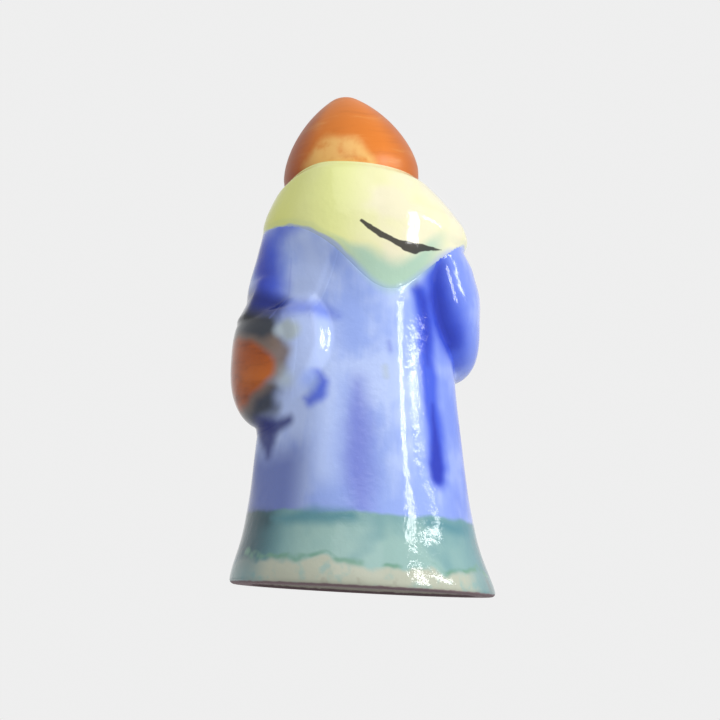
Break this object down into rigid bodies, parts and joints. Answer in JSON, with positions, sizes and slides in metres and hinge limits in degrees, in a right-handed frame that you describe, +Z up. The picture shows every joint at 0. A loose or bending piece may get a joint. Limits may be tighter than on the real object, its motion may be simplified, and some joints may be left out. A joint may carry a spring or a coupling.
{
  "type": "porcelain figure bell",
  "caption": "Small glazed porcelain bell shaped as a robed figure with shawl, sleeves and side basket; a bead clapper hangs on wire inside the flared hem and rings when the figure is shaken.",
  "frame": {"origin": "middle of the foot ring, on the plane that the bell stands on", "axes": "+Z up from the foot to the hair, -Y the way the figure faces, +X the figure's left side with the basket"},
  "size_m": [0.0405, 0.038, 0.0732],
  "materials": {
    "robe": "clear gloss glaze over periwinkle and cobalt brushwork, green hem",
    "shawl": "clear gloss glaze over pale yellow with one black brush stroke",
    "hair": "clear gloss glaze over brown-orange brushwork",
    "sleeve": "clear gloss glaze over blue brushwork",
    "skin": "clear gloss glaze over pale flesh tint",
    "basket": "clear gloss glaze over orange and olive brushwork",
    "clay": "unglazed fired clay",
    "wire": "dull drawn wire",
    "bead": "plain white glaze"
  },
  "bodies": {
    "bell": {"robe_bell": "robe", "shawl": "shawl", "head": "hair", "left_sleeve": "sleeve", "right_sleeve": "sleeve", "left_hand": "skin", "right_hand": "skin", "basket": "basket", "hanger_lug": "clay"},
    "link": {"hanger_link": "wire"},
    "clapper": {"clapper_wire": "wire"},
    "bead": {"clapper_bead": "bead"}
  },
  "joints": [
    {"name": "link_swing", "type": "hinge", "parent": "bell", "child": "link", "pos_m": [0.00099, 0, 0.0453], "axis": [1, 0, 0], "range_deg": [-8.5, 8.5]},
    {"name": "clapper_swing", "type": "hinge", "parent": "link", "child": "clapper", "pos_m": [0.00099, 0, 0.04038], "axis": [0, 1, 0], "range_deg": [-12, 12]},
    {"name": "bead_spin", "type": "hinge", "parent": "clapper", "child": "bead", "pos_m": [0.00099, 0, 0.0105], "axis": [0, 0, 1], "continuous": true}
  ]
}
